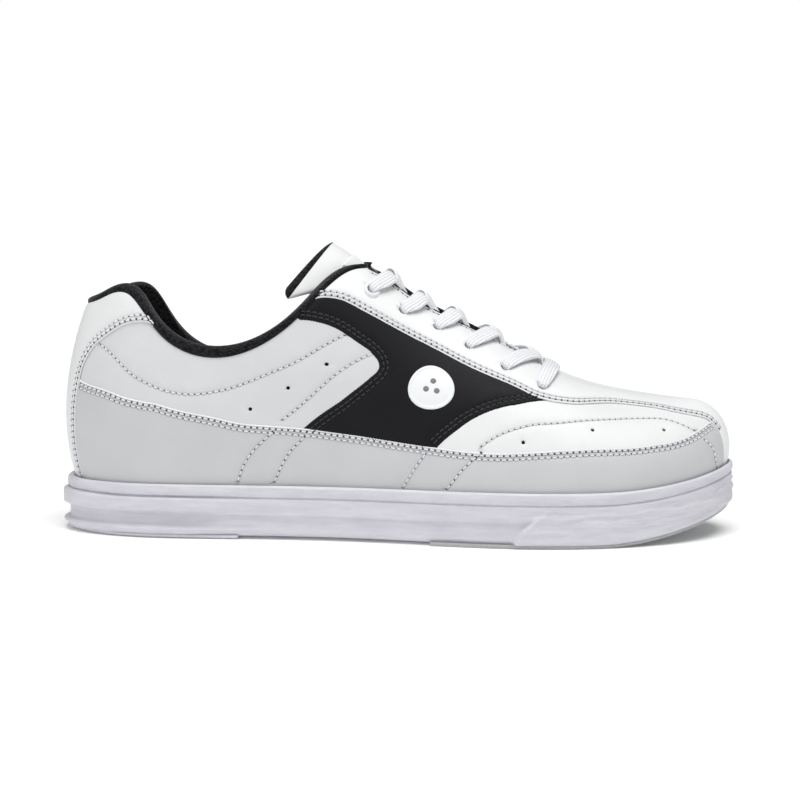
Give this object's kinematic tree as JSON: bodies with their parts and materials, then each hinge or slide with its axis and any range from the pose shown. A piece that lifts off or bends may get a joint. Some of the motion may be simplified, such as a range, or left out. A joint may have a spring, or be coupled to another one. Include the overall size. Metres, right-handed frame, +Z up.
{
  "type": "bowling shoe",
  "caption": "Low lace-up shoe for bowling with a sliding sole, overlaid leather panels, a padded collar, a padded tongue and a flat lace.",
  "frame": {"origin": "centre of the sole's bounding rectangle, on the floor that the shoe stands on", "axes": "+X from heel to toe, -Y to the outer (little toe) side of this right shoe, +Z up"},
  "size_m": [0.2993, 0.1083, 0.1297],
  "materials": {
    "white_leather": "satin",
    "light_grey_leather": "satin",
    "black_leather": "satin",
    "white_lining": "matte",
    "black_knit": "matte",
    "foam": "matte",
    "fibre_board": "matte",
    "eva_foam": "satin",
    "microfibre": "matte",
    "heel_rubber": "satin",
    "lace_weave": "matte",
    "clear_tip": "gloss",
    "white_plastic": "satin"
  },
  "bodies": {
    "shoe": {"midsole": "eva_foam", "slide_sole_pad": "microfibre", "heel_rubber_pad": "heel_rubber", "insole_board": "fibre_board", "footbed": "black_knit", "eyestay_vamp": "white_leather", "backstay": "white_leather", "rand_lateral": "light_grey_leather", "rand_medial": "light_grey_leather", "quarter_lateral": "light_grey_leather", "quarter_medial": "light_grey_leather", "saddle_lateral": "black_leather", "saddle_medial": "black_leather", "vamp_side_lateral": "white_leather", "vamp_side_medial": "white_leather", "emblem_lateral": "white_leather", "toe_puff": "fibre_board", "heel_counter": "fibre_board", "vamp_lining": "white_lining", "collar_lining": "black_knit", "collar_foam": "foam", "lace": "lace_weave", "lace_tail_lateral": "lace_weave", "lace_tail_medial": "lace_weave", "aglet_lateral": "clear_tip", "aglet_medial": "clear_tip", "grommet_lateral": "white_plastic", "grommet_medial": "white_plastic"},
    "tongue": {"tongue_shell": "white_leather", "tongue_foam": "foam", "tongue_lining": "black_knit", "tongue_label": "black_leather"}
  },
  "joints": [
    {"name": "tongue_tilt", "type": "hinge", "parent": "shoe", "child": "tongue", "pos_m": [0.082, 0, 0.0595], "axis": [0, -1, 0], "range_deg": [0, 15]}
  ]
}
